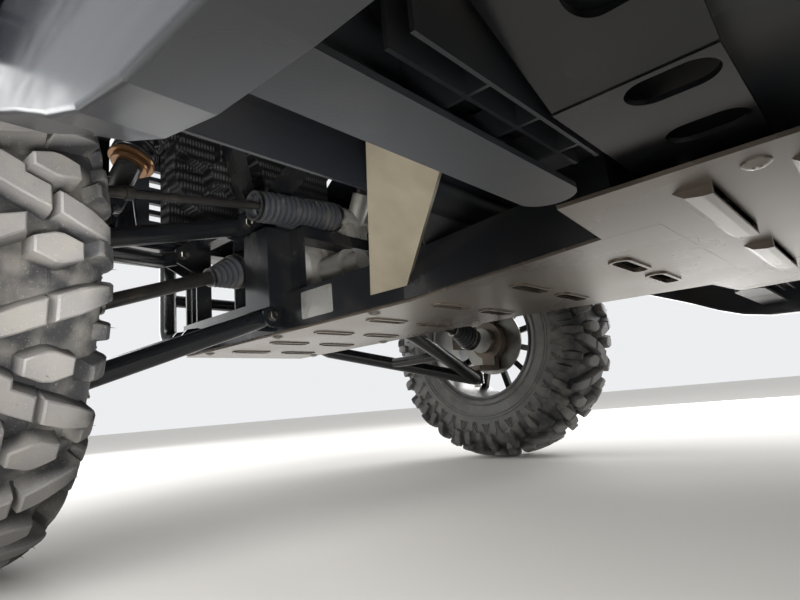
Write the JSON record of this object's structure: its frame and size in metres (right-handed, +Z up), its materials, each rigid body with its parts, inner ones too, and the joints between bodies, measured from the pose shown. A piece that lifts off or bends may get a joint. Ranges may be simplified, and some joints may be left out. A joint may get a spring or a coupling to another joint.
{
  "type": "side by side utility vehicle",
  "caption": "Open cab off-road utility vehicle with side by side seats, roll cage, roof, tilting cargo bed and independent suspension.",
  "frame": {"origin": "on the ground under the middle of the vehicle's outline", "axes": "+X to the vehicle's left, +Y to its rear, +Z up"},
  "size_m": [1.62, 2.96, 1.9298],
  "materials": {
    "tyre": "matt",
    "rim": "satin",
    "steel": "satin",
    "cast_iron": "rough",
    "black_steel": "satin",
    "casting": "rough",
    "skid_metal": "satin",
    "black_rubber": "matt",
    "black_plastic": "grained",
    "body_plastic": "gloss",
    "seat_cover": "soft",
    "lamp": "clear",
    "red_lamp": "clear"
  },
  "bodies": {
    "root": {"front_arms": "black_steel", "coil_overs": "black_steel", "rear_arms": "black_steel", "rear_knuckles": "cast_iron", "half_shafts": "steel", "front_differential": "casting", "rear_final_drive": "casting", "steering_rack": "casting", "rack_bellows": "black_rubber", "frame_rails": "black_steel", "frame_cross_members": "black_steel", "lower_arm_brackets": "black_steel", "front_subframe": "black_steel", "cowl_frame": "black_steel", "side_frames": "black_steel", "rear_subframe": "black_steel", "frame_gussets": "steel", "skid_plates": "skid_metal", "floor_tub": "black_plastic", "steering_column": "steel", "dashboard": "black_plastic", "seat_base": "black_plastic", "seat_cushions": "seat_cover", "seat_backs": "seat_cover", "pedals_and_selector": "steel", "roll_cage": "black_steel", "roof": "body_plastic", "front_fenders": "body_plastic", "head_lamps": "lamp", "nose_panel": "body_plastic", "grille": "black_plastic", "rocker_panels": "black_plastic", "rear_fenders": "body_plastic", "tail_lamps": "red_lamp", "engine_block": "casting", "exhaust_silencer": "steel", "radiator": "casting", "front_bumper": "black_steel", "rear_bumper": "black_steel"},
    "steering_wheel": {"steering_wheel": "black_rubber"},
    "knuckle_left": {"knuckle_left": "cast_iron"},
    "knuckle_right": {"knuckle_right": "cast_iron"},
    "rack_bar": {"tie_rods": "steel"},
    "bonnet": {"bonnet": "body_plastic"},
    "door_left": {"door_left": "body_plastic"},
    "door_right": {"door_right": "body_plastic"},
    "cargo_bed": {"cargo_bed": "black_plastic"},
    "tailgate": {"tailgate": "black_plastic"},
    "wheel_front_left": {"tyre_front_left": "tyre", "rim_front_left": "rim", "hub_front_left": "steel"},
    "wheel_front_right": {"tyre_front_right": "tyre", "rim_front_right": "rim", "hub_front_right": "steel"},
    "wheel_rear_left": {"tyre_rear_left": "tyre", "rim_rear_left": "rim", "hub_rear_left": "steel"},
    "wheel_rear_right": {"tyre_rear_right": "tyre", "rim_rear_right": "rim", "hub_rear_right": "steel"}
  },
  "joints": [
    {"name": "steering", "type": "hinge", "parent": "root", "child": "steering_wheel", "pos_m": [0.318, -0.16, 1.018], "axis": [0, 0.788, 0.6157], "range_deg": [-400, 400]},
    {"name": "kingpin_left", "type": "hinge", "parent": "root", "child": "knuckle_left", "pos_m": [0.568, -1, 0.352], "axis": [0, 0, 1], "range_deg": [-30, 30]},
    {"name": "kingpin_right", "type": "hinge", "parent": "root", "child": "knuckle_right", "pos_m": [-0.568, -1, 0.352], "axis": [0, 0, 1], "range_deg": [-30, 30]},
    {"name": "rack_slide", "type": "slide", "parent": "root", "child": "rack_bar", "axis": [1, 0, 0], "range_m": [-0.0475, 0.0475]},
    {"name": "wheel_spin_front_left", "type": "hinge", "parent": "knuckle_left", "child": "wheel_front_left", "pos_m": [0.695, -1, 0.352], "axis": [1, 0, 0], "continuous": true},
    {"name": "wheel_spin_front_right", "type": "hinge", "parent": "knuckle_right", "child": "wheel_front_right", "pos_m": [-0.695, -1, 0.352], "axis": [1, 0, 0], "continuous": true},
    {"name": "wheel_spin_rear_left", "type": "hinge", "parent": "root", "child": "wheel_rear_left", "pos_m": [0.695, 1.06, 0.352], "axis": [1, 0, 0], "continuous": true},
    {"name": "wheel_spin_rear_right", "type": "hinge", "parent": "root", "child": "wheel_rear_right", "pos_m": [-0.695, 1.06, 0.352], "axis": [1, 0, 0], "continuous": true},
    {"name": "bonnet_hinge", "type": "hinge", "parent": "root", "child": "bonnet", "pos_m": [0, -0.65, 1.022], "axis": [-1, 0, 0], "range_deg": [0, 60]},
    {"name": "door_hinge_left", "type": "hinge", "parent": "root", "child": "door_left", "pos_m": [0.772, -0.471, 0.7], "axis": [0, 0, -1], "range_deg": [0, 70]},
    {"name": "door_hinge_right", "type": "hinge", "parent": "root", "child": "door_right", "pos_m": [-0.772, -0.471, 0.7], "axis": [0, 0, 1], "range_deg": [0, 70]},
    {"name": "bed_hinge", "type": "hinge", "parent": "root", "child": "cargo_bed", "pos_m": [0, 1.29, 0.64], "axis": [-1, 0, 0], "range_deg": [0, 45]},
    {"name": "tailgate_hinge", "type": "hinge", "parent": "cargo_bed", "child": "tailgate", "pos_m": [0, 1.457, 0.78], "axis": [-1, 0, 0], "range_deg": [0, 90]}
  ],
  "couplings": [
    {"joint": "kingpin_left", "follows": "steering", "ratio": 0.075},
    {"joint": "kingpin_right", "follows": "steering", "ratio": 0.075},
    {"joint": "rack_slide", "follows": "steering", "m_per_rad": -0.0068}
  ]
}
